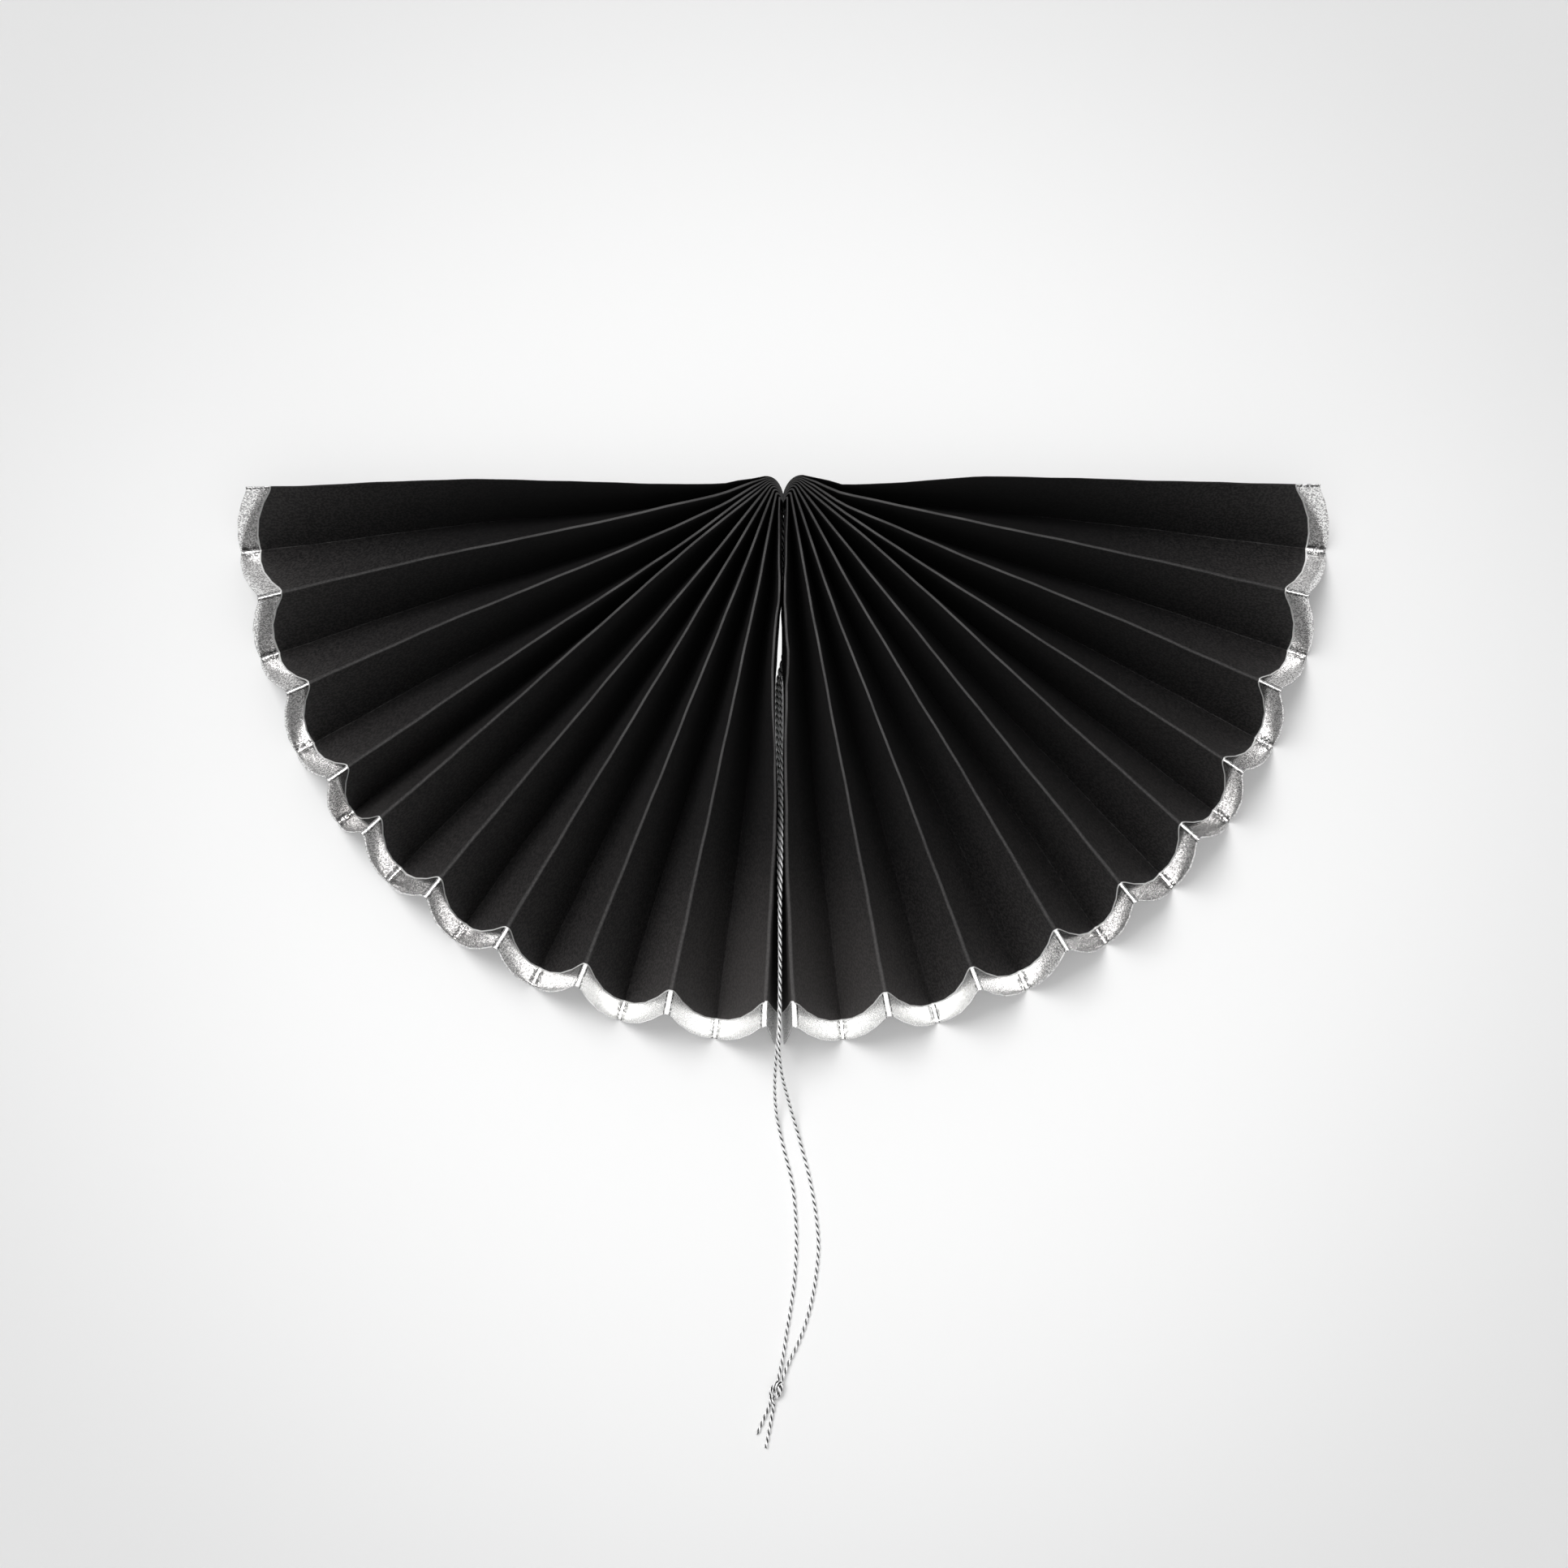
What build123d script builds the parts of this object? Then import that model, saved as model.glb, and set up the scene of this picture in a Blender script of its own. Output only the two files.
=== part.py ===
from build123d import *
import os
from collections import namedtuple
from math import acos, cos, pi, radians, sin, tan

# A pleated paper fan. One black sheet is folded to and fro into a narrow stack, bound at its
# waist, and each half of the stack is opened through a quarter turn. Silver foil lines the
# scalloped rim. A metallic cord is stitched through the waist, runs down the seam between the
# halves and ends in a knot. X runs across the fan, Y points from the seam's rim to the waist,
# and Z goes up. The origin is at the waist, on the surface that the lower folds rest on.

# The sheet, in millimetres
paper_thickness = 0.07
panel_width = 11.0
scallop_cusp_radius = 60.8
scallop_depth = 3.1
scallop_tip_radius = scallop_cusp_radius + scallop_depth
fold_half_width = 0.125

# The directions of the upper folds, in degrees from the straight top edge of each half
left_ridge_angles = (0.5, 12.3, 22.9, 33.2, 39.8, 49.1, 58.2, 67.7, 77.6, 88.0)
right_ridge_angles = (0.3, 12.1, 22.6, 32.2, 40.7, 50.0, 58.7, 68.8, 78.7, 88.8)
left_seam_edge_angle = 89.15
right_seam_edge_angle = 89.8

# The waist, where the stack dips into a notch between two low shoulders
notch_depth = 1.4
shoulder_offset = 1.6
shoulder_height = 0.7
stack_pitch = 0.15
seam_half_gap = 0.55

# The foil border, on the upper side of the sheet
foil_thickness = 0.04
foil_width_at_tip = 2.45
foil_width_at_cusp = 3.0

# The cord, its two holes through the waist, and its knot
cord_diameter = 0.45
cord_hole_clearance = 0.15
upper_hole_height = 4.2
lower_hole_height = 2.0
knot_length = 2.2
knot_width = 1.4
knot_neck_width = 1.14
knot_end_width = 1.0
knot_socket_depth = 0.3

# Upright planes square to the middle of each half, from its knees to past the rim
inner_plane_distance = 16.0
middle_plane_distance = 36.0
trim_margin = 5.0
outer_plane_distance = scallop_tip_radius + trim_margin
last_fold = 2 * len(left_ridge_angles) - 1
LEFT, RIGHT = -1, 1


def fold_angles(ridge_angles, seam_edge_angle):
    """All the folds of one half, from its top edge to the seam: ridges with valleys midway."""
    angles = []
    for ridge, following in zip(ridge_angles, ridge_angles[1:]):
        angles += [ridge, (ridge + following) / 2]
    return angles + [ridge_angles[-1], seam_edge_angle]


half_angles = {
    LEFT: fold_angles(left_ridge_angles, left_seam_edge_angle),
    RIGHT: fold_angles(right_ridge_angles, right_seam_edge_angle),
}


def is_ridge(fold):
    return fold % 2 == 0


def from_waist(side, angle, radius):
    turn = radians(angle)
    return Vector(side * radius * cos(turn), -radius * sin(turn))


def rim_point(side, fold, cusp_radius, tip_radius):
    """Where a fold crosses a scalloped line. The cusps are on ridges, the tips on valleys."""
    radius = cusp_radius if is_ridge(fold) else tip_radius
    return from_waist(side, half_angles[side][fold], radius)


def across(side, run):
    """The direction square to a run out from the waist that points on to the next fold."""
    return Vector(side * run.Y, -side * run.X)


def mitre(first, second):
    """The step across a corner that is one unit square to both of its legs."""
    return (first + second) * (1 / (1 + first.dot(second)))


# Where a fold crosses a station: the middle of the fold, the step of one unit across it, half
# its flat width on the outside, the lean of the panels beside it and, on a ridge, its height
Crossing = namedtuple("Crossing", "fold centre step half_width lean height")


def waist_point(fold):
    return Vector(0, -notch_depth - fold * stack_pitch)


def flank(side):
    """The run of a bound panel from the bottom of the notch to the top of a shoulder."""
    return Vector(side * shoulder_offset, notch_depth + shoulder_height)


def knee_point(side, fold):
    """Where a fold leaves the bound stack. The inner folds leave it sooner."""
    shortest = seam_half_gap / shoulder_offset
    reach = 1 - (1 - shortest) * (fold / last_fold) ** 1.5
    return waist_point(fold) + flank(side) * reach


def fold_run(side, fold):
    """The direction of a fold from its knee to the rim."""
    rim = rim_point(side, fold, scallop_cusp_radius, scallop_tip_radius)
    return (rim - knee_point(side, fold)).normalized()


def panel_lean(side, fold, radius):
    """The angle between a fold's two panels and the ground, which falls from waist to rim."""
    angles = half_angles[side]
    beside = [angles[n] for n in (fold - 1, fold + 1) if 0 <= n <= last_fold]
    spread = sum(abs(angle - angles[fold]) for angle in beside) / len(beside)
    return acos(min(radius, scallop_cusp_radius) * radians(spread) / panel_width)


def ridge_height(side, fold, radius):
    """A ridge runs straight from the waist down to where its spread panels hold it."""
    rim_height = panel_width * sin(panel_lean(side, fold, scallop_cusp_radius))
    return panel_width + (rim_height - panel_width) * radius / scallop_cusp_radius


def bound_station(points, steps):
    """The crossings where the panels stand upright, side by side."""
    pitch = stack_pitch * flank(RIGHT).normalized().X
    half_width = (pitch + paper_thickness) / 2
    return [
        Crossing(fold, point, step, half_width, pi / 2, panel_width)
        for fold, (point, step) in enumerate(zip(points, steps))
    ]


def waist_station():
    left, right = (across(side, flank(side).normalized()) for side in (LEFT, RIGHT))
    folds = range(last_fold + 1)
    return bound_station([waist_point(fold) for fold in folds], [mitre(left, right)] * len(folds))


def knee_station(side):
    flank_step = across(side, flank(side).normalized())
    folds = range(last_fold + 1)
    steps = [mitre(flank_step, across(side, fold_run(side, fold))) for fold in folds]
    return bound_station([knee_point(side, fold) for fold in folds], steps)


def plane_station(side, distance):
    """The crossings in the upright plane at this distance along the half's middle."""
    outward = Vector(side, -1).normalized()
    station = []
    for fold in range(last_fold + 1):
        knee, run = knee_point(side, fold), fold_run(side, fold)
        centre = knee + run * ((distance - knee.dot(outward)) / run.dot(outward))
        step = across(side, outward) * (1 / run.dot(outward))
        lean = panel_lean(side, fold, centre.length)
        height = ridge_height(side, fold, centre.length)
        station.append(Crossing(fold, centre, step, fold_half_width, lean, height))
    return station


def surface_corners(crossing, lift):
    """The corners at one fold of the surface that lies this far above the sheet's under side.

    The sheet ends in a cut edge at its first ridge and at its last valley.
    """
    ridge = is_ridge(crossing.fold)
    spread = lift - paper_thickness if ridge else -lift
    level = crossing.height + spread if ridge else lift
    if crossing.fold in (0, last_fold):
        ways = [1 if ridge else -1]
        width = crossing.half_width + spread / sin(crossing.lean)
        level = crossing.height if ridge else 0
    else:
        ways = [-1, 1]
        width = crossing.half_width + spread * tan(crossing.lean / 2)
    return [crossing.centre + crossing.step * (way * width) + Vector(0, 0, level) for way in ways]


def ring(station, under_lift, upper_lift):
    """The corners of the layer between two surfaces, across every fold and back."""
    under = [corner for crossing in station for corner in surface_corners(crossing, under_lift)]
    upper = [corner for crossing in station for corner in surface_corners(crossing, upper_lift)]
    return upper + under[::-1]


def solid_through(rings):
    """The solid whose skin runs from each ring's corners to the next ring's, in flat triangles.

    The panels are slightly twisted. Both skins of one are halved along the same line, from its
    ridge on the ring before to its valley on the ring after.
    """
    outlines = [rings[0], rings[-1]]
    for near, far in zip(rings, rings[1:]):
        for a, b, c, d in zip(near, near[1:] + near[:1], far[1:] + far[:1], far):
            outlines += [(a, b, c), (a, c, d)] if a.Z >= b.Z else [(a, b, d), (b, c, d)]
    return Solid(Shell([Face(Wire.make_polygon(outline)) for outline in outlines]))


def scalloped_line(side, cusp_radius, tip_radius):
    """One arc for each scallop of a half, and half an arc beside the seam."""
    folds = range(last_fold + 1)
    points = [rim_point(side, fold, cusp_radius, tip_radius) for fold in folds]
    for fold in range(0, last_fold - 1, 2):
        ThreePointArc(points[fold], points[fold + 1], points[fold + 2])
    bulge_angle = sum(half_angles[side][-2:]) / 2
    bulge_radius = cusp_radius + 0.75 * (tip_radius - cusp_radius)
    ThreePointArc(points[-2], from_waist(side, bulge_angle, bulge_radius), points[-1])
    return points


# The folded sheet, cut to scallops, with two holes through its waist for the cord
with BuildPart() as pleated_paper:
    left_distances = (outer_plane_distance, middle_plane_distance, inner_plane_distance)
    left_planes = [plane_station(LEFT, distance) for distance in left_distances]
    right_planes = [plane_station(RIGHT, distance) for distance in left_distances[::-1]]
    knees_and_waist = [knee_station(LEFT), waist_station(), knee_station(RIGHT)]
    sheet_stations = left_planes + knees_and_waist + right_planes
    add(solid_through([ring(station, 0, paper_thickness) for station in sheet_stations]))
    with BuildSketch():
        with BuildLine():
            left_rim = scalloped_line(LEFT, scallop_cusp_radius, scallop_tip_radius)
            right_rim = scalloped_line(RIGHT, scallop_cusp_radius, scallop_tip_radius)
            Line(left_rim[-1], right_rim[-1])
            above_fan = Vector(0, trim_margin)
            Polyline(left_rim[0], left_rim[0] + above_fan, right_rim[0] + above_fan, right_rim[0])
        make_face()
    extrude(amount=panel_width + trim_margin, both=True, mode=Mode.INTERSECT)
    with BuildSketch(Plane.XZ):
        with Locations((0, upper_hole_height), (0, lower_hole_height)):
            Circle((cord_diameter + cord_hole_clearance) / 2)
    stack_depth = notch_depth + last_fold * stack_pitch
    extrude(amount=stack_depth + paper_thickness + stack_pitch, mode=Mode.SUBTRACT)
pleated_paper.part.label = "pleated_paper"

# The foil lies on the sheet's upper side, from the rim to a second scalloped line
foil_borders = []
for side, side_name, foil_stations in (
    (LEFT, "left", left_planes[:2]),
    (RIGHT, "right", right_planes[-2:]),
):
    with BuildPart() as foil_border:
        foil_top = paper_thickness + foil_thickness
        add(solid_through([ring(station, paper_thickness, foil_top) for station in foil_stations]))
        with BuildSketch():
            with BuildLine():
                outer = scalloped_line(side, scallop_cusp_radius, scallop_tip_radius)
                inner = scalloped_line(
                    side,
                    scallop_cusp_radius - foil_width_at_cusp,
                    scallop_tip_radius - foil_width_at_tip,
                )
                past_edge = Vector(0, trim_margin)
                Polyline(outer[0], outer[0] + past_edge, inner[0] + past_edge, inner[0])
                past_seam = Vector(-side * trim_margin, 0)
                Polyline(outer[-1], outer[-1] + past_seam, inner[-1] + past_seam, inner[-1])
            make_face()
        extrude(amount=panel_width + trim_margin, both=True, mode=Mode.INTERSECT)
    foil_border.part.label = "foil_border_" + side_name
    foil_borders.append(foil_border.part)

# The cord's route, as points chosen by hand from the stitch at the waist down to the knot
knot_height = knot_width / 2 + 0.02
left_strand = [
    (0, -0.6, lower_hole_height),
    (0, -5.4, lower_hole_height),
    (0.02, -10.0, 0.9),
    (0.04, -14.0, 0.25),
    (-0.12, -17.0, 0.24),
    (-0.34, -19.6, 0.25),
    (-0.4, -22.5, 0.27),
    (-0.43, -26.2, 0.6),
    (-0.43, -30.4, 2.0),
    (-0.3, -34.7, 4.5),
    (-0.4, -36.9, 6.0),
    (-0.55, -39.4, 7.35),
    (-0.52, -42.5, 8.1),
    (-0.41, -47.1, 8.45),
    (-0.37, -52.9, 8.4),
    (-0.39, -58.1, 8.05),
    (-0.48, -61.8, 7.3),
    (-0.7, -63.8, 6.4),
    (-0.88, -65.7, 5.2),
    (-1.0, -68.3, 3.5),
    (-0.96, -70.3, 2.2),
    (-0.76, -72.6, 1.0),
    (-0.29, -74.8, 0.35),
    (0.23, -77.0, 0.25),
    (0.83, -79.2, 0.24),
    (1.14, -80.9, 0.25),
    (1.39, -83.3, 0.24),
    (1.51, -85.6, 0.25),
    (1.53, -88.0, 0.24),
    (1.37, -90.7, 0.25),
    (1.13, -93.0, 0.24),
    (0.75, -95.5, 0.25),
    (0.37, -97.6, 0.27),
    (-0.06, -100.7, 0.42),
    (-0.6, -103.4, knot_height),
]
right_strand = [
    (0, -0.6, upper_hole_height),
    (0, -5.4, upper_hole_height),
    (0.03, -11.0, 2.7),
    (0.06, -15.0, 1.1),
    (0.14, -18.6, 0.65),
    (0.12, -22.5, 0.4),
    (0.04, -27.6, 1.3),
    (0.09, -33.3, 4.5),
    (0, -39.2, 8.2),
    (-0.19, -43.7, 9.0),
    (-0.38, -47.9, 9.1),
    (-0.35, -52.9, 9.0),
    (-0.37, -58.0, 8.7),
    (-0.43, -61.8, 8.0),
    (-0.5, -63.9, 7.2),
    (-0.37, -65.7, 6.0),
    (-0.07, -67.7, 4.6),
    (0.37, -69.4, 3.3),
    (0.93, -71.7, 1.75),
    (1.6, -74.1, 0.6),
    (2.26, -76.6, 0.27),
    (2.89, -78.9, 0.25),
    (3.58, -82.3, 0.24),
    (4.0, -85.6, 0.25),
    (4.11, -88.0, 0.24),
    (3.86, -90.5, 0.25),
    (3.58, -92.6, 0.24),
    (3.11, -94.8, 0.25),
    (2.45, -97.05, 0.24),
    (1.69, -99.2, 0.28),
    (0.62, -101.4, 0.45),
    (-0.08, -103.45, knot_height),
]


def bend_radii(points):
    """The largest arc at each corner that leaves a tenth of the shorter run straight."""
    radii = []
    for before, corner, after in zip(points, points[1:], points[2:]):
        arriving, leaving = corner - before, after - corner
        half_turn = radians(arriving.get_angle(leaving) / 2)
        radii.append(0.45 * min(arriving.length, leaving.length) / tan(half_turn))
    return radii


def sweep_cord(points):
    """The tube of a cord along straight runs joined by arcs."""
    with BuildLine() as path:
        FilletPolyline(*points, radius=bend_radii(points))
    with BuildSketch(Plane(path.line @ 0, z_dir=path.line % 0)) as section:
        Circle(cord_diameter / 2)
    sweep(section.sketch, path=path.line)


# The hanging cord, one length that goes up from the knot, through the waist and down again
with BuildPart() as hanging_cord:
    cord_points = [Vector(point) for point in left_strand[::-1] + right_strand]
    sweep_cord(cord_points)
hanging_cord.part.label = "hanging_cord"
print("cord radii:", [round(radius, 1) for radius in bend_radii(cord_points)])

# The knot that ties the cord's ends, with the two tails past it. The strands seat in it.
knot_run = Vector(-0.3, -0.95).normalized()
strand_ends = (Vector(left_strand[-1]) + Vector(right_strand[-1])) / 2
knot_start = strand_ends - knot_run * knot_socket_depth
knot_end = knot_start + knot_run * knot_length
left_tail = [
    knot_end - knot_run * 0.4,
    Vector(-1.35, -106.3, 0.35),
    Vector(-2.2, -108.0, 0.25),
    Vector(-3.05, -109.4, 0.24),
]
right_tail = [
    knot_end - knot_run * 0.5,
    Vector(-1.2, -107.0, 0.34),
    Vector(-1.6, -109.1, 0.25),
    Vector(-2.03, -111.0, 0.24),
]
with BuildPart() as cord_knot:
    with BuildSketch(Plane(knot_start, x_dir=across(RIGHT, knot_run), z_dir=(0, 0, 1))):
        with BuildLine():
            ends = ((0, 0), (0, knot_length))
            first_lobe = (knot_width / 2, knot_length * 0.25)
            second_lobe = (knot_width / 2, knot_length * 0.75)
            neck = (knot_neck_width / 2, knot_length / 2)
            Line(ends[0], (knot_end_width / 2, 0))
            ThreePointArc((knot_end_width / 2, 0), first_lobe, neck)
            ThreePointArc(neck, second_lobe, (knot_end_width / 2, knot_length))
            Polyline((knot_end_width / 2, knot_length), ends[1], ends[0])
        make_face()
    revolve(axis=Axis(knot_start, knot_run))
    sweep_cord(left_tail)
    sweep_cord(right_tail)
    add(hanging_cord.part, mode=Mode.SUBTRACT)
cord_knot.part.label = "cord_knot"

os.makedirs("parts", exist_ok=True)
for piece in (pleated_paper.part, *foil_borders, hanging_cord.part, cord_knot.part):
    export_step(piece, f"parts/{piece.label}.step")
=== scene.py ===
import math
import random

import bmesh
import bpy
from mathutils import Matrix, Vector
from mathutils.kdtree import KDTree


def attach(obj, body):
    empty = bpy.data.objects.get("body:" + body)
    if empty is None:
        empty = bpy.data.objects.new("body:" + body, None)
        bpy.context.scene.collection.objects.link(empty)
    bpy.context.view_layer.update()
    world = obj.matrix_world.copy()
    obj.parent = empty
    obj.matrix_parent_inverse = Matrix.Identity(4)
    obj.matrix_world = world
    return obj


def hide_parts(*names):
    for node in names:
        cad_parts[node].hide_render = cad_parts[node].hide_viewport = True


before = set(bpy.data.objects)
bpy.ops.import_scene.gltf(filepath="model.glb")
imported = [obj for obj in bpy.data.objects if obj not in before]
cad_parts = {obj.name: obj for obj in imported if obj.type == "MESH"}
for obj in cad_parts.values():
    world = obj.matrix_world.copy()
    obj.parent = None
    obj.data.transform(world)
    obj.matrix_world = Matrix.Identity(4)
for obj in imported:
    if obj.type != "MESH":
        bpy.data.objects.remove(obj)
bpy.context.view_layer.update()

# The view: straight down on the fan as it lies on its back.
# The camera stands over a point on the seam, half way along it.
MM = 0.001
CAMERA_PLACE = (0.09, -33.85, 287.3)
VIEW_ANGLE = 35.22

camera_data = bpy.data.cameras.new("camera")
camera_data.sensor_width = 36.0
camera_data.angle = math.radians(VIEW_ANGLE)
camera_data.clip_start = 0.01
camera = bpy.data.objects.new("camera", camera_data)
camera.location = Vector(CAMERA_PLACE) * MM
bpy.context.scene.collection.objects.link(camera)
bpy.context.scene.camera = camera
bpy.context.scene.view_settings.view_transform = "Standard"


# The hanging cord: one length of silver yarn of two plies, twisted together.
# It is stitched through the pinched waist, so each strand here starts behind the upper fold,
# goes through its own hole, and follows the seam out to the knot.
LEFT, RIGHT = -1, 1
PLY_RADIUS = 0.125
PLY_OFFSET = 0.112
PLY_PITCH = 1.75
OPENED_END = 0.6
STITCH_MIDDLE = (0, -0.6, 3.1)
UPPER_HOLE, LOWER_HOLE = 4.2, 2.0
KNOT_HEIGHT = 0.72

left_strand_route = [
    STITCH_MIDDLE,
    (0, -0.6, LOWER_HOLE),
    (0, -5.4, LOWER_HOLE),
    (0, -7.0, 0.8),
    (0, -9.5, 0.28),
    (0.12, -14.0, 0.26),
    (0.14, -17.0, 0.25),
    (0.02, -19.2, 0.26),
    (-0.45, -20.8, 0.35),
    (-0.69, -22.4, 0.7),
    (-0.69, -24.3, 1.9),
    (-0.68, -27.2, 3.5),
    (-0.55, -30.8, 4.4),
    (-0.39, -34.7, 5.2),
    (-0.34, -36.9, 6.2),
    (-0.45, -39.4, 7.35),
    (-0.48, -42.5, 8.1),
    (-0.41, -47.1, 8.45),
    (-0.37, -52.9, 8.4),
    (-0.39, -58.1, 8.05),
    (-0.48, -61.8, 7.3),
    (-0.7, -63.8, 6.4),
    (-0.88, -65.7, 5.2),
    (-1.0, -68.3, 3.5),
    (-0.96, -70.3, 2.2),
    (-0.76, -72.6, 1.0),
    (-0.29, -74.8, 0.35),
    (0.23, -77.0, 0.25),
    (0.83, -79.2, 0.24),
    (1.14, -80.9, 0.25),
    (1.39, -83.3, 0.24),
    (1.51, -85.6, 0.25),
    (1.53, -88.0, 0.24),
    (1.37, -90.7, 0.25),
    (1.13, -93.0, 0.24),
    (0.75, -95.5, 0.25),
    (0.37, -97.6, 0.27),
    (-0.06, -100.7, 0.42),
    (-0.72, -103.4, KNOT_HEIGHT),
]
right_strand_route = [
    STITCH_MIDDLE,
    (0, -0.6, UPPER_HOLE),
    (0, -5.4, UPPER_HOLE),
    (0, -7.2, 2.6),
    (0, -9.4, 0.9),
    (0.14, -13.0, 0.74),
    (0.16, -17.0, 0.72),
    (0.06, -19.4, 0.76),
    (-0.34, -21.5, 1.1),
    (-0.28, -24.3, 2.4),
    (-0.26, -27.4, 4.2),
    (-0.23, -31.0, 5.3),
    (-0.21, -34.5, 6.4),
    (-0.19, -39.2, 8.2),
    (-0.24, -43.7, 9.0),
    (-0.38, -47.9, 9.1),
    (-0.35, -52.9, 9.0),
    (-0.37, -58.0, 8.7),
    (-0.43, -61.8, 8.0),
    (-0.5, -63.9, 7.2),
    (-0.37, -65.7, 6.0),
    (-0.07, -67.7, 4.6),
    (0.37, -69.4, 3.3),
    (0.93, -71.7, 1.75),
    (1.6, -74.1, 0.6),
    (2.26, -76.6, 0.27),
    (2.89, -78.9, 0.25),
    (3.58, -82.3, 0.24),
    (4.0, -85.6, 0.25),
    (4.11, -88.0, 0.24),
    (3.86, -90.5, 0.25),
    (3.58, -92.6, 0.24),
    (3.11, -94.8, 0.25),
    (2.45, -97.05, 0.24),
    (1.58, -99.2, 0.28),
    (0.4, -101.4, 0.45),
    (-0.3, -103.45, KNOT_HEIGHT),
]


def smooth_route(points, steps_per_point=26):
    """The points along the smooth line that a route's points pull on."""
    curve = bpy.data.curves.new("route", "CURVE")
    curve.dimensions = "3D"
    spline = curve.splines.new("NURBS")
    spline.points.add(len(points) - 1)
    for control, place in zip(spline.points, points):
        control.co = (*(Vector(place) * MM), 1)
    spline.order_u = 3
    spline.use_endpoint_u = True
    spline.resolution_u = steps_per_point
    route = bpy.data.objects.new("route", curve)
    line = bpy.data.meshes.new_from_object(route)
    places = [vertex.co.copy() for vertex in line.vertices]
    bpy.data.objects.remove(route)
    bpy.data.meshes.remove(line)
    return places


def path_length(places):
    return sum((after - before).length for before, after in zip(places, places[1:]))


def twist_plies(name, paths, ply_radius=PLY_RADIUS, flares=(0.0,)):
    """Two plies wound round each path, as one mesh. A path's very end opens out by its flare."""
    curve = bpy.data.curves.new(name, "CURVE")
    curve.dimensions = "3D"
    curve.bevel_depth = ply_radius * MM
    curve.bevel_resolution = 2
    curve.use_fill_caps = True
    for places, flare in zip(paths, flares):
        length = path_length(places)
        for start_turn in (0.0, 0.5):
            spline = curve.splines.new("POLY")
            spline.points.add(len(places) - 1)
            side, travelled = Vector((1, 0, 0)), 0.0
            for n, place in enumerate(places):
                before, after = places[max(n - 1, 0)], places[min(n + 1, len(places) - 1)]
                along = (after - before).normalized()
                side = (side - along * side.dot(along)).normalized()
                up = along.cross(side)
                travelled += (place - before).length
                turn = 2 * math.pi * (start_turn - travelled / (PLY_PITCH * MM))
                opened = 1 + flare * max(0, 1 - (length - travelled) / (OPENED_END * MM)) ** 2
                offset = (side * math.cos(turn) + up * math.sin(turn)) * PLY_OFFSET * opened
                spline.points[n].co = (*(place + offset * MM), 1)
    holder = bpy.data.objects.new(name + "_curve", curve)
    mesh = bpy.data.meshes.new_from_object(holder)
    mesh.name = name
    bpy.data.objects.remove(holder)
    axis = [place for places in paths for place in places]
    finder = KDTree(len(axis))
    for n, place in enumerate(axis):
        finder.insert(place, n)
    finder.balance()
    from_axis = mesh.attributes.new("from_axis", "FLOAT", "POINT")
    for n, vertex in enumerate(mesh.vertices):
        from_axis.data[n].value = finder.find(vertex.co)[2] / MM
    for polygon in mesh.polygons:
        polygon.use_smooth = True
    strand = bpy.data.objects.new(name, mesh)
    bpy.context.scene.collection.objects.link(strand)
    return strand


class Wire:
    """A value in a material. Sums on it add Math nodes, and node() adds any other node."""

    def __init__(self, tree, socket=None):
        self.tree, self.socket = tree, socket

    def node(self, kind, settings=None, inputs=None, output=0):
        made = self.tree.nodes.new("ShaderNode" + kind)
        for name, value in (settings or {}).items():
            setattr(made, name, value)
        for name, value in (inputs or {}).items():
            if isinstance(value, Wire):
                self.tree.links.new(value.socket, made.inputs[name])
            else:
                made.inputs[name].default_value = value
        return Wire(self.tree, made.outputs[output])

    def maths(self, operation, *others):
        values = dict(enumerate((self, *others)))
        return self.node("Math", {"operation": operation}, values)

    def __add__(self, other):
        return self.maths("ADD", other)

    def __sub__(self, other):
        return self.maths("SUBTRACT", other)

    def __mul__(self, other):
        return self.maths("MULTIPLY", other)

    def __rsub__(self, other):
        return self.node("Math", {"operation": "SUBTRACT"}, {0: other, 1: self})

    __radd__, __rmul__ = __add__, __mul__

    def ramp(self, low, high, dark=0.0, light=1.0):
        """From dark to light as the value goes from low to high, smoothly."""
        values = {"Value": self, "From Min": low, "From Max": high, "To Min": dark, "To Max": light}
        return self.node("MapRange", {"interpolation_type": "SMOOTHSTEP"}, values)

    def noise(self, scale, detail=2.0, roughness=0.5):
        """Noise over the piece, about this many grains a millimetre."""
        where = self.node("TexCoord", output="Object")
        inputs = {"Vector": where, "Scale": scale / MM, "Detail": detail, "Roughness": roughness}
        return self.node("TexNoise", inputs=inputs)

    def distance_from(self, place):
        """How far each point of the piece is from a place, in millimetres."""
        where = self.node("TexCoord", output="Object")
        inputs = {0: where, 1: Vector(place) * MM}
        return self.node("VectorMath", {"operation": "DISTANCE"}, inputs, "Value") * (1 / MM)

    def attribute(self, name):
        return self.node("Attribute", {"attribute_name": name}, output="Fac")

    def blend(self, share, first, second):
        """A colour between two, by share. A Mix node takes its colours at sockets 6 and 7."""
        colours = [c if isinstance(c, Wire) else (*c, 1) for c in (first, second)]
        inputs = {0: share, 6: colours[0], 7: colours[1]}
        return self.node("Mix", {"data_type": "RGBA"}, inputs, output=2)


def new_material(name, constants):
    """A material with one Principled shader. Returns it, a free wire, and a way to link."""
    material = bpy.data.materials.new(name)
    material.use_nodes = True
    shader = material.node_tree.nodes["Principled BSDF"]
    for socket, value in constants.items():
        shader.inputs[socket].default_value = value

    def link(socket, wire):
        material.node_tree.links.new(wire.socket, shader.inputs[socket])

    return material, Wire(material.node_tree), link


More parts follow.
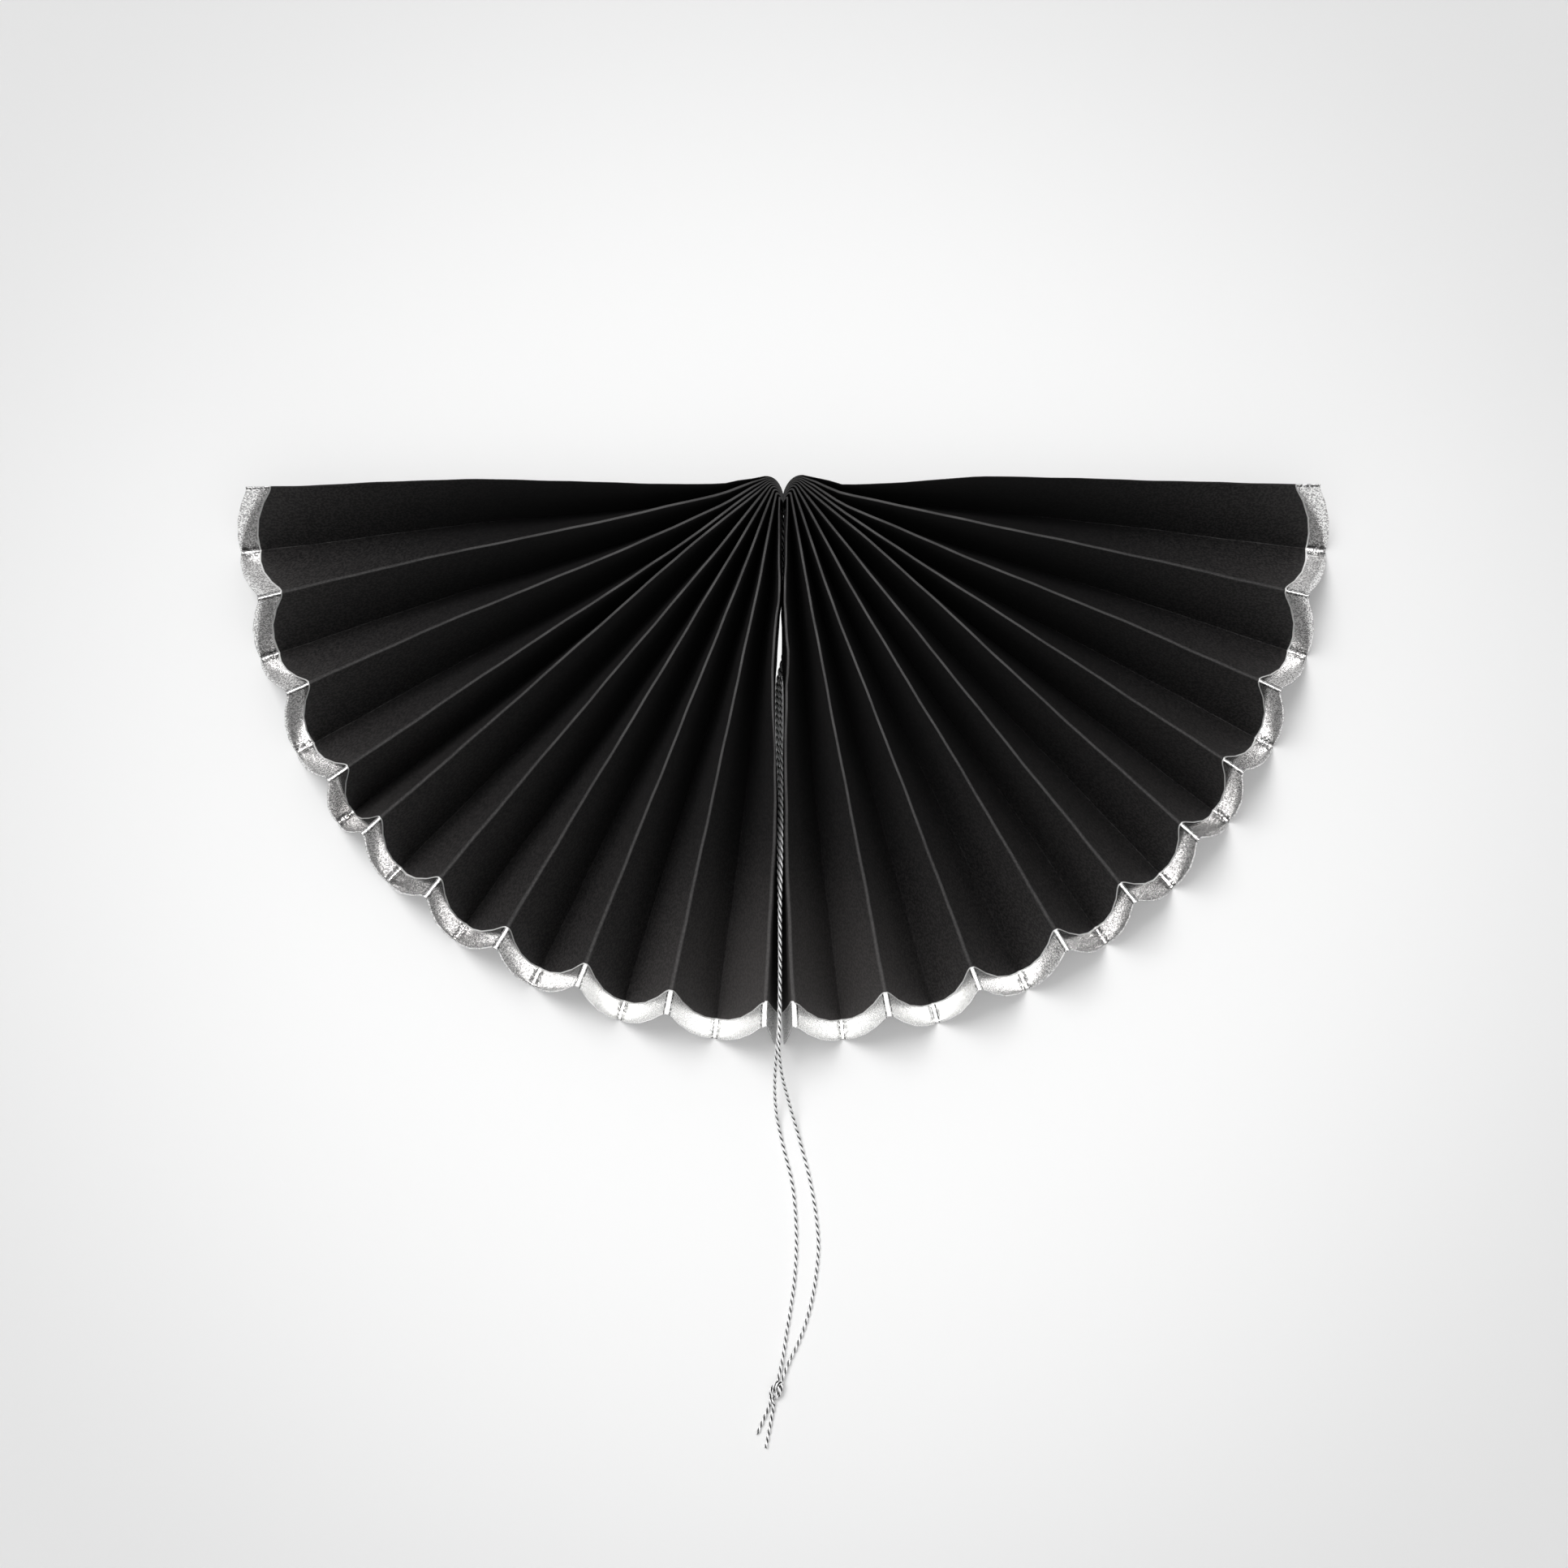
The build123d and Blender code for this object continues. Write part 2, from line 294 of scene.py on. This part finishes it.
# Silver yarn: bright metal thread with a fine glitter, and painted shade, near black, in the groove
# between its plies
yarn, wire, link = new_material("silver_yarn", {"Metallic": 0.15, "Roughness": 0.35})
glitter = wire.noise(7.0, 3.0)
thread = wire.blend(glitter.ramp(0.3, 0.5), (0.75, 0.75, 0.76), (0.99, 0.99, 0.99))
# Painted shade: near black where the yarn's surface lies close to the cord's axis, between the
# plies
groove_painted_shade = wire.attribute("from_axis").ramp(0.13, 0.2, 1.0, 0.0)
link("Base Color", wire.blend(groove_painted_shade, thread, (0.02, 0.02, 0.02)))
link("Normal", wire.node("Bump", inputs={"Strength": 0.35, "Distance": 0.00004, "Height": glitter}))

left_places = smooth_route(left_strand_route)
right_places = smooth_route(right_strand_route)
left_strand = twist_plies("left_strand", [left_places])
right_strand = twist_plies("right_strand", [right_places])
for strand in (left_strand, right_strand):
    strand.data.materials.append(yarn)
    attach(strand, "root")
    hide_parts("hanging_cord")


# The knot: the cord's two ends laid side by side and tied in one overhand knot.
# Past it the ends stand out as two short tails, cut square, with their plies opening.
KNOT_MIDDLE = Vector((-0.84, -104.2, KNOT_HEIGHT))
KNOT_RUN = Vector((-0.3, -0.95, 0)).normalized()
KNOT_ACROSS = Vector((0.95, -0.3, 0)).normalized()
overhand_turns = [
    (-1.1, 0.2, 0.25),
    (-0.3, 0.42, 0.35),
    (0.7, 0.36, 0.0),
    (1.1, 0.0, -0.42),
    (0.6, -0.4, -0.25),
    (-0.25, -0.42, 0.28),
    (-1.05, -0.1, 0.5),
    (-1.1, 0.34, 0.12),
    (-0.55, 0.32, -0.42),
    (0.3, -0.1, -0.38),
    (1.0, -0.2, 0.0),
    (1.3, -0.08, 0.08),
]
tail_ends = {
    LEFT: [(-1.55, -105.9, 0.45), (-2.0, -107.0, 0.3), (-3.05, -109.4, 0.26)],
    RIGHT: [(-1.07, -105.9, 0.45), (-1.27, -107.0, 0.3), (-2.03, -111.0, 0.25)],
}
ENDS_APART = 0.13
ENDS_LIFTED = 0.12
TIGHT_PLY_RADIUS = 0.115
tail_flares = (0.9, 0.15)

knot_paths = []
for side, route in ((LEFT, left_strand_route), (RIGHT, right_strand_route)):
    turns = []
    for along, sideways, height in overhand_turns:
        spread = sideways + side * ENDS_APART
        lift = height * (1 + side * ENDS_LIFTED)
        place = KNOT_MIDDLE + KNOT_RUN * along + KNOT_ACROSS * spread
        turns.append(place + Vector((0, 0, lift)))
    knot_paths.append(smooth_route([route[-1], *turns, *tail_ends[side]], 24))
knot = twist_plies("knot", knot_paths, TIGHT_PLY_RADIUS, tail_flares)
knot.data.materials.append(yarn)
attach(knot, "root")
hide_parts("cord_knot")


# The folded sheet: one strip of black paper, scored and folded to and fro, its folds crowded
# together at the waist and fanned out to the rim on both sides.
# Distances are in millimetres from the point where the fold lines of both halves run together.
PANEL_WIDTH = 11.0
SHEET_THICKNESS = 0.045
LAST_FOLD = 19

# From the straight top edge round to the seam: each upper fold's direction in degrees, and the
# rim's radius at each cusp, over an upper fold, and at each scallop's tip, over a lower one
ridge_angles = {
    LEFT: (0.35, 12.3, 22.9, 33.2, 39.8, 49.1, 58.2, 67.7, 77.6, 88.0),
    RIGHT: (-0.1, 12.1, 22.6, 32.2, 40.7, 50.0, 58.7, 68.8, 78.7, 88.8),
}
seam_edge_angles = {LEFT: 89.15, RIGHT: 89.8}
cusp_radii = (60.2, 60.2, 60.3, 60.8, 61.3, 61.3, 61.3, 60.9, 60.9, 60.9)
tip_radii = (63.45, 63.8, 64.2, 64.5, 64.6, 64.6, 64.4, 64.25, 64.0, 64.2)
FOIL_AT_CUSP, FOIL_AT_TIP, FOIL_AT_SEAM = 3.0, 2.45, 3.8
foil_cusps = tuple(radius - FOIL_AT_CUSP for radius in cusp_radii)
foil_tips = (*(radius - FOIL_AT_TIP for radius in tip_radii[:-1]), tip_radii[-1] - FOIL_AT_SEAM)

# The layers at the notch, the shoulders where the folds turn outwards, and the folds' waver
NOTCH = 1.4
LAYER_PITCH = 0.052
shoulders = {LEFT: Vector((1.45, 2.0)), RIGHT: Vector((1.6, 2.12))}
SHOULDER_LOSS, SHOULDER_CURVE = 0.85, 3.2
FIRST_RISE = Vector((0.42, 1.45))
KNEE_ROUNDING = 0.6
REFERENCE_RADIUS = 62.0
VALLEY_LEVEL = -0.04
FOLD_ROUNDING = 0.17
PANEL_BOW = 0.16
FOLD_WAVER = 0.022
LONG_WAVE, SHORT_WAVE, FINE_WAVE = 5, 2.1, 0.9
STRAIGHT_START = 12
TIP_BLUNTNESS = 0.05
SCALLOP_CURVE, LAST_SCALLOP_CURVE = 2.1, 1.15

# The crest of an upper fold is a narrow rounded ledge. It widens towards the rim and the seam.
CREST, CREST_GROWTH = 0.12, 0.16
FLAT_FOLD_CREST = 0.01
WIDEST_CREST = 0.42
CREST_ARC = 1.2
CREST_DROP = 0.6

# How far the upper folds stray from straight, towards the next fold, this far from their knees
ridge_bends = {
    LEFT: [
        [(2, 0.3), (5.2, 0.77), (35, -0.33), (56, 0)],
        [(6, 0.6), (12, 0.57), (45, 0)],
        [(6, 0.56), (12, 0.68), (45, 0)],
        [(12, 0.36), (45, 0)],
        [(12, -0.37), (45, 0)],
        [(12, 0.17), (45, 0)],
        [(12, 0.06), (45, 0)],
        [(12, 0.14), (45, 0)],
        [(12, 0.15), (45, 0)],
        [
            (6.3, 0.15), (9.6, 0.29), (11.6, 0.26), (13.6, 0.05), (15.6, -0.1), (19.6, -0.18),
            (21.6, -0.15), (31, 0.4), (35, 0.5), (40, 0.5), (45.4, 0.38), (50.6, 0.2), (60, 0),
        ],
    ],
    RIGHT: [
        [(1.8, 0.3), (4.6, 0.98), (23.7, -0.17), (55, 0.19)],
        [(5, 0.72), (11, 0.58), (45, 0)],
        [(6, 0.75), (12, 0.66), (45, 0)],
        [(7, 0.27), (12, 0.29), (45, 0)],
        [(12, -0.38), (45, 0)],
        [(45, 0)],
        [(12, 0.33), (45, 0)],
        [(12, 0.31), (45, 0)],
        [(12, 0.1), (45, 0)],
        [
            (6.3, 0.27), (9.6, 0.41), (11.6, 0.46), (13.6, 0.35), (15.6, 0.24), (17.6, 0.11),
            (19.1, 0.18), (21.6, 0.38), (31, 0.6), (40.2, 0.6), (45.4, 0.51), (49.3, 0.36), (60, 0),
        ],
    ],
}


# The sheet's two cut edges in the seam: distance from the waist, sideways place and height.
# The right edge lies on the cord for a while, and leaves a narrow slit beside the left one.
seam_edges = {
    LEFT: [
        (2.7, -0.2, 0), (3.3, -0.15, 10.2), (7.6, -0.15, 10.2), (9.6, -0.12, 8), (10.6, -0.04, 2),
        (12.6, -0.12, 1.2), (13.4, -0.3, 0.5), (14, -0.38, 0), (16, -0.5, 0), (18, -0.66, 0),
        (20.4, -0.76, 0), (22, -0.95, 0), (28, -0.95, 0), (32, -0.75, 0), (38, -0.44, 0),
        (48, -0.45, 0), (58, -0.5, 0), (65, -1.0, 0),
    ],
    RIGHT: [
        (2.7, 0.2, 0), (3.3, 0.1, 10.3), (7.6, 0.1, 10.3), (9.6, 0.05, 8), (10.6, -0.03, 2),
        (12.6, -0.12, 1.05), (13.4, -0.3, 1.05), (16, -0.14, 1.05), (18, -0.14, 1.05),
        (20, -0.2, 1.19), (20.9, -0.12, 1.36), (21.6, -0.05, 1.1), (23, 0.03, 0), (28, 0.03, 0),
        (32, -0.1, 0), (38, -0.36, 0), (48, -0.37, 0), (58, -0.32, 0), (65, 0.15, 0),
    ],
}


def fold_angle(side, fold):
    if fold == LAST_FOLD:
        return seam_edge_angles[side]
    angles = ridge_angles[side]
    ridge = fold // 2
    return angles[ridge] if fold % 2 == 0 else (angles[ridge] + angles[ridge + 1]) / 2


rng = random.Random(7)
both_halves = [(side, n) for side in (LEFT, RIGHT) for n in range(LAST_FOLD + 1)]
panel_bows = {key: rng.uniform(-PANEL_BOW, PANEL_BOW) for key in both_halves}
waves = {key: [rng.uniform(0, 6.28) for _ in range(3)] for key in both_halves}


def bend(side, ridge, distance):
    """How far an upper fold strays by its own table, eased from point to point."""
    points = [(0, 0), *ridge_bends[side][ridge]]
    for (near, here), (far, there) in zip(points, points[1:]):
        if distance <= far:
            share = (distance - near) / (far - near)
            return here + (there - here) * share * share * (3 - 2 * share)
    return points[-1][1]


def stray(side, fold, distance):
    """How far a fold strays sideways. A lower fold goes with the upper folds beside it."""
    long_start, short_start, fine_start = waves[side, fold]
    wave = math.sin(distance / LONG_WAVE + long_start)
    wave += math.sin(distance / SHORT_WAVE + short_start)
    wave += 0.6 * math.sin(distance / FINE_WAVE + fine_start)
    ridge, next_ridge = fold // 2, min((fold + 1) // 2, len(ridge_angles[side]) - 1)
    bent = (bend(side, ridge, distance) + bend(side, next_ridge, distance)) / 2
    return FOLD_WAVER * wave * min(1, distance / STRAIGHT_START) + bent


def fold_place(side, fold, share):
    """A place on a fold: share -1 is the waist, 0 is past the knee, 1 the reference radius."""
    reach = 1 - SHOULDER_LOSS * (fold / LAST_FOLD) ** SHOULDER_CURVE
    bound = Vector((0, -NOTCH - LAYER_PITCH * fold))
    knee = bound + shoulders[side] * reach
    turn = math.radians(fold_angle(side, fold))
    outer = Vector((math.cos(turn), -math.sin(turn))) * REFERENCE_RADIUS
    run = (outer - knee).normalized()
    start = knee + run * KNEE_ROUNDING * reach
    height = VALLEY_LEVEL if fold % 2 else PANEL_WIDTH
    if share < 0:
        rise, lip = bound + FIRST_RISE * reach, knee - run * (1 - KNEE_ROUNDING) * reach
        near, far = -share, 1 + share
        place = bound * near**3 + rise * 3 * near * near * far
        place += lip * 3 * near * far * far + start * far**3
        return Vector((side * place.x, place.y, height))
    from_knee = share * (REFERENCE_RADIUS - 1)
    place = start.lerp(outer, share) + Vector((run.y, -run.x)) * stray(side, fold, from_knee)
    if fold == LAST_FOLD:
        for (near, *here), (far, *there) in zip(seam_edges[side], seam_edges[side][1:]):
            if near <= -place.y <= far:
                x, z = Vector(here).lerp(Vector(there), (-place.y - near) / (far - near))
                return Vector((x, place.y, z + VALLEY_LEVEL))
    if fold % 2 == 0:
        beside = [n for n in (fold - 1, fold + 1) if 0 <= n <= LAST_FOLD]
        spread = sum(abs(fold_angle(side, n) - fold_angle(side, fold)) for n in beside)
        half_width = REFERENCE_RADIUS * math.radians(spread / len(beside))
        rim_height = math.sqrt(PANEL_WIDTH**2 - half_width**2)
        height = PANEL_WIDTH + (rim_height - PANEL_WIDTH) * share
    return Vector((side * place.x, place.y, height))


def scallop(fold, across, cusps, tips):
    """The radius of a scalloped line at this share of the way from one fold to the next."""
    from_tip = across if fold % 2 else 1 - across
    from_tip -= TIP_BLUNTNESS * max(0, from_tip * 10 - 9) ** 2
    tip, cusp = tips[fold // 2], cusps[(fold + 1) // 2]
    curve = SCALLOP_CURVE if fold < LAST_FOLD - 1 else LAST_SCALLOP_CURVE
    return tip + (cusp - tip) * from_tip**curve


# Distances across one panel, crowded at its two folds
beside_fold = (0.06, 0.12, 0.17, 0.24, 0.3, 0.37, 1.0)
panel_columns = [0, *beside_fold, 2.8, 5.5, 8.2]
panel_columns += [PANEL_WIDTH - gap for gap in reversed(beside_fold)]
columns = [(fold, at / PANEL_WIDTH) for fold in range(LAST_FOLD) for at in panel_columns]
columns.append((LAST_FOLD - 1, 1.0))


def sheet_place(side, fold, across, radius_share):
    """A place on the folded sheet, across the panel between a fold and the next."""
    here, there = fold_place(side, fold, radius_share), fold_place(side, fold + 1, radius_share)
    top, foot, from_top = (there, here, 1 - across) if fold % 2 else (here, there, across)
    width = (foot - top).length
    gap = from_top * width
    sideways = Vector((foot.x - top.x, foot.y - top.y, 0))
    crest = CREST + CREST_GROWTH * fold / LAST_FOLD * max(0, radius_share) ** 3
    crest = min(crest, WIDEST_CREST * sideways.length)
    if fold == 0:
        crest = FLAT_FOLD_CREST
    sideways.normalize()
    arc, drop = CREST_ARC * crest, CREST_DROP * crest
    if gap < arc:
        turn = gap / arc * math.pi / 2
        place = top + sideways * crest * math.sin(turn)
        place.z -= drop * (1 - math.cos(turn))
    else:
        place = top + sideways * crest - Vector((0, 0, drop))
        place = place.lerp(foot, (gap - arc) / (width - arc))
    from_foot = width - gap
    if from_foot < FOLD_ROUNDING:
        rounded = (from_foot * from_foot + FOLD_ROUNDING**2) / (2 * FOLD_ROUNDING)
        place.z = foot.z + (top.z - foot.z) / width * rounded
    bow = panel_bows[side, fold] * math.sin(math.pi * across) * max(0, radius_share)
    normal = (there - here).cross(Vector((place.x, place.y, 0))).normalized()
    return place + normal * bow


def fold_sheet(name, rows_of, lift=0.0):
    """A grid laid over the folds. Each row is a function from a column to (side, share)."""
    bm = bmesh.new()
    bmesh.ops.create_grid(bm, x_segments=len(columns) - 1, y_segments=len(rows_of) - 1, size=1)
    across_layer = bm.verts.layers.float.new("across")
    foil_layer = bm.verts.layers.float.new("past_foil_line")
    for vertex in bm.verts:
        column = round((vertex.co.x + 1) / 2 * (len(columns) - 1))
        row = round((vertex.co.y + 1) / 2 * (len(rows_of) - 1))
        fold, across = columns[column]
        rim = scallop(fold, across, cusp_radii, tip_radii)
        side, share = rows_of[row](fold, across, rim)
        vertex.co = sheet_place(side, fold, across, share) * MM
        vertex[across_layer] = (fold + across) * PANEL_WIDTH
        foil_line = scallop(fold, across, foil_cusps, foil_tips)
        vertex[foil_layer] = share * REFERENCE_RADIUS - foil_line
    bmesh.ops.recalc_face_normals(bm, faces=bm.faces)
    if sum(face.normal.z for face in bm.faces) < 0:
        bmesh.ops.reverse_faces(bm, faces=bm.faces)
    if lift:
        bm.normal_update()
        for vertex, normal in [(v, v.normal.copy()) for v in bm.verts]:
            vertex.co += normal * lift * MM
    mesh = bpy.data.meshes.new(name)
    bm.to_mesh(mesh)
    bm.free()
    for polygon in mesh.polygons:
        polygon.use_smooth = True
    piece = bpy.data.objects.new(name, mesh)
    bpy.context.scene.collection.objects.link(piece)
    return piece


# Black paper: matt print with a fine grain. It is rubbed grey, with a painted highlight, along its
# upper folds, and rubbed grey along its cut edge. Painted light makes it lighter towards the rim
# and the seam's end, and painted shade darkens it in and towards its lower folds.
STRIP_LENGTH = PANEL_WIDTH * LAST_FOLD
SEAM_END = (0, -62, 8)
NOTCH_TOP = (0, -2.2, 11)
paper_constants = {"Specular IOR Level": 0.16, "Roughness": 0.62}
paper_black, wire, link = new_material("black_paper", paper_constants)
grain = wire.noise(3.4, 2.0, 0.6)
patches = wire.noise(0.35, 3.0).ramp(0.35, 0.65)
along_strip = wire.attribute("across")
ridge_gap = along_strip.maths("PINGPONG", PANEL_WIDTH)
valley_gap = PANEL_WIDTH - ridge_gap
outward = wire.distance_from((0, 0, 0))
from_seam_end = wire.distance_from(SEAM_END)
from_notch = wire.distance_from(NOTCH_TOP)

rim_share = outward * (1 / REFERENCE_RADIUS)
growth = along_strip * (CREST_ARC * CREST_GROWTH / STRIP_LENGTH)
past_crest = ridge_gap - rim_share.maths("POWER", 3) * growth - CREST_ARC * CREST
# Painted highlight and rubbed wear: pale grey along the crest of each upper fold, most towards the
# waist
rubbed_and_highlit = past_crest.ramp(-0.05, 0.02, 1.0, 0.0) * (patches * 0.4 + 0.6)
rubbed_and_highlit = rubbed_and_highlit * outward.ramp(18, 52, 1.0, 0.24)
side_line = past_crest.maths("ABSOLUTE").ramp(0.02, 0.07, 0.6, 0.0) * outward.ramp(30, 50)
scored = (valley_gap - 0.05).maths("ABSOLUTE").ramp(0.02, 0.07, 0.4, 0.0) * patches
scored = scored * from_seam_end.ramp(25, 45)
to_edge = STRIP_LENGTH - along_strip
pinched = to_edge.ramp(1.5, 3.5, 1.0, 0.0) * outward.ramp(9.5, 11, 0.8, 0.0)
cut_edge = to_edge.ramp(0.05, 0.15, 1.0, 0.0).maths("MAXIMUM", pinched)
worn_and_highlit = rubbed_and_highlit.maths("MAXIMUM", side_line).maths("MAXIMUM", scored).maths("MAXIMUM", cut_edge)
worn_and_highlit = worn_and_highlit * from_notch.ramp(1, 8, 0.45, 1.0)

# Painted light: the ink is lighter towards the rim and towards the seam's end; the grain varies it
# at random
painted_shading_and_grain = outward.ramp(28, 64, 0.03, 0.22) + from_seam_end.ramp(6, 24, 0.37, 0.0)
painted_shading_and_grain = painted_shading_and_grain + (grain.ramp(0.42, 0.6) - 0.5) * outward.ramp(20, 58, 0.04, 0.24)
# Painted shade: darker towards each lower fold, lighter towards each upper fold
painted_shading_and_grain = painted_shading_and_grain + valley_gap.ramp(1.0, 8.0, -0.04, 0.03)
# Painted shade: near black along the lower folds, away from the seam's end
painted_crease_shade = valley_gap.ramp(0.02, 0.14, 1.0, 0.0) * from_seam_end.ramp(25, 45, 0.9, 0.0)
ink = wire.blend(painted_shading_and_grain, (0.008, 0.0078, 0.0082), (0.1, 0.093, 0.091))
ink = wire.blend(painted_crease_shade, ink, (0.004, 0.004, 0.004))
link("Base Color", wire.blend(worn_and_highlit, ink, (0.088, 0.086, 0.086)))
link("Normal", wire.node("Bump", inputs={"Strength": 0.25, "Distance": 0.00003, "Height": grain}))

KNEE_ROWS = 10
FAN_ROWS = 55
ROW_CROWDING = 0.4


def fan_row(side, step):
    """A row of the sheet from the knees to the rim. The rows crowd towards the rim."""
    part = step / FAN_ROWS
    part += ROW_CROWDING * part * (1 - part)

    def place(fold, across, rim):
        return side, part * rim / REFERENCE_RADIUS

    return place


def waist_row(side, step):
    return lambda fold, across, rim: (side, -step / KNEE_ROWS)


sheet_rows = [fan_row(LEFT, step) for step in range(FAN_ROWS, -1, -1)]
sheet_rows += [waist_row(LEFT, step) for step in range(1, KNEE_ROWS + 1)]
sheet_rows += [waist_row(RIGHT, step) for step in range(KNEE_ROWS - 1, 0, -1)]
sheet_rows += [fan_row(RIGHT, step) for step in range(FAN_ROWS + 1)]
folded_paper = fold_sheet("folded_paper", sheet_rows)
shell = folded_paper.modifiers.new("thickness", "SOLIDIFY")
shell.thickness = SHEET_THICKNESS * MM
shell.offset = 0
folded_paper.data.materials.append(paper_black)
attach(folded_paper, "root")
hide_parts("pleated_paper")


# The foil border: silver foil pressed on the sheet's upper side before it was folded.
# It runs along the scalloped rim, and its inner edge is scalloped too.
FOIL_THICKNESS = 0.02
FOIL_ROWS = 14

RIM_SEAM_END = (0, -66, 6)
CRACK_PAST_CREST, CRACK_BY_VALLEY = 0.27, 0.55

# Silver foil: bright metal with a fine speck, cracked to dots along its folds. Its inner edge has a
# painted highlight, pale and not metal. It is painted brighter round the seam's end, and painted
# shade darkens it where it turns into it.
foil, wire, link = new_material("silver_foil", {})
speck = wire.noise(5.0, 1.0, 0.5)
dots = wire.noise(4.0, 2.0).ramp(0.43, 0.5)
along_strip = wire.attribute("across")
ridge_gap = along_strip.maths("PINGPONG", PANEL_WIDTH)
valley_gap = PANEL_WIDTH - ridge_gap
from_seam_end = wire.distance_from(RIM_SEAM_END)
growth = along_strip * (CREST_ARC * CREST_GROWTH / STRIP_LENGTH)
from_upper_crack = (ridge_gap - growth - CRACK_PAST_CREST).maths("ABSOLUTE")
from_lower_crack = (valley_gap - CRACK_BY_VALLEY).maths("ABSOLUTE")
cracked = from_upper_crack.maths("MINIMUM", from_lower_crack).ramp(0.09, 0.2, 1.0, 0.0) * dots
# Painted highlight: the foil's inner edge is painted pale, and is not metal
painted_edge_highlight = wire.attribute("past_foil_line").ramp(0.14, 0.22, 1.0, 0.0)
# Painted shade: dark grey where the foil turns into the seam
painted_seam_shade = along_strip.ramp(STRIP_LENGTH - 0.7 * PANEL_WIDTH, STRIP_LENGTH - 0.2 * PANEL_WIDTH)
silver = wire.blend(speck.ramp(0.38, 0.6), (0.38, 0.375, 0.375), (0.97, 0.965, 0.96))
# Painted light: the foil is painted near white round the seam's end
silver = wire.blend(from_seam_end.ramp(16, 36, 0.75, 0.0), silver, (0.99, 0.99, 0.98))
silver = wire.blend(cracked, silver, (0.06, 0.06, 0.06))
silver = wire.blend(painted_seam_shade, silver, (0.3, 0.3, 0.3))
link("Base Color", wire.blend(painted_edge_highlight, silver, (0.98, 0.98, 0.97)))
link("Metallic", from_seam_end.ramp(12, 40, 0.62, 0.95) * painted_edge_highlight.ramp(0.0, 1.0, 1.0, 0.0))
link("Roughness", speck.ramp(0.3, 0.7, 0.2, 0.12) + from_seam_end.ramp(12, 40, 0.1, 0.0))
link("Normal", wire.node("Bump", inputs={"Strength": 0.2, "Distance": 0.00005, "Height": speck}))


def foil_row(side, step):
    """A row of the foil, from its inner edge to the rim."""

    def place(fold, across, rim):
        inner = scallop(fold, across, foil_cusps, foil_tips)
        return side, (inner + (rim - inner) * step / FOIL_ROWS) / REFERENCE_RADIUS

    return place


for side, hand in ((LEFT, "left"), (RIGHT, "right")):
    steps = range(FOIL_ROWS, -1, -1) if side == LEFT else range(FOIL_ROWS + 1)
    lift = SHEET_THICKNESS / 2 + FOIL_THICKNESS
    border = fold_sheet(hand + "_foil", [foil_row(side, step) for step in steps], lift)
    shell = border.modifiers.new("thickness", "SOLIDIFY")
    shell.thickness = FOIL_THICKNESS * MM
    shell.offset = -1
    border.data.materials.append(foil)
    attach(border, "root")
    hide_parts("foil_border_" + hand)


# The table: a pale smooth board under the lower folds, with soft daylight over it.
# Emission paints a little light on it round the fan, and paints light on it through the slit of the
# seam.
FLOOR_LEVEL = -0.03
FAN_MIDDLE = (0, -34, 0)
SLIT_MIDDLE = (0, -17.5, 0)

floor_mesh = bpy.data.meshes.new("table")
bm = bmesh.new()
bmesh.ops.create_grid(bm, x_segments=1, y_segments=1, size=1.2)
bmesh.ops.translate(bm, verts=bm.verts, vec=(0, 0, FLOOR_LEVEL * MM))
bm.to_mesh(floor_mesh)
bm.free()
table = bpy.data.objects.new("table", floor_mesh)
bpy.context.scene.collection.objects.link(table)
board_constants = {"Roughness": 0.7, "Base Color": (0.84, 0.84, 0.84, 1), "Emission Strength": 1}
board, wire, link = new_material("pale_board", board_constants)
to_camera = wire.node("LightPath", output="Is Camera Ray")
seen = to_camera + wire.node("LightPath", output="Is Glossy Ray")
# Painted light: a glow on the floor round the fan, fading outwards
painted_light_round_fan = seen * wire.distance_from(FAN_MIDDLE).ramp(40, 130, 0.22, 0.0)
# Painted light: the floor seen through the seam's slit glows, where no light reaches it
painted_light_in_slit = to_camera * wire.distance_from(SLIT_MIDDLE).ramp(3.5, 5, 0.7, 0.0)
link("Emission Color", painted_light_round_fan + painted_light_in_slit)
floor_mesh.materials.append(board)

world = bpy.data.worlds.new("daylight")
bpy.context.scene.world = world
world.use_nodes = True
sky = world.node_tree.nodes["Background"]
sky.inputs["Color"].default_value = (1, 1, 1, 1)
sky.inputs["Strength"].default_value = 0.3


def softbox(name, place, length, width, power):
    """A soft light that faces the fan. Its place and sizes are in metres, its length across."""
    light = bpy.data.lights.new(name, "AREA")
    light.shape = "RECTANGLE"
    light.size, light.size_y = length, width
    light.energy = power
    lamp = bpy.data.objects.new(name, light)
    lamp.location = place
    lamp.rotation_euler = (-Vector(place)).to_track_quat("-Z", "Y").to_euler()
    bpy.context.scene.collection.objects.link(lamp)
    return lamp


# The window lights everything softly. The others show only as reflections in foil, ink and yarn.
softbox("window", (-0.8, 1.3, 2.56), 1.4, 1.4, 62).visible_glossy = False
softbox("sheet", (0, -0.24, 0.75), 2.6, 0.42, 11).visible_diffuse = False
softbox("strip", (0, -0.08, 0.7), 2.6, 0.1, 3.2).visible_diffuse = False
softbox("middle", (0, -0.09, 0.68), 0.24, 0.16, 0.8).visible_diffuse = False
softbox("low_sheet", (0, -0.95, 0.75), 2.6, 1.0, 4.3).visible_diffuse = False
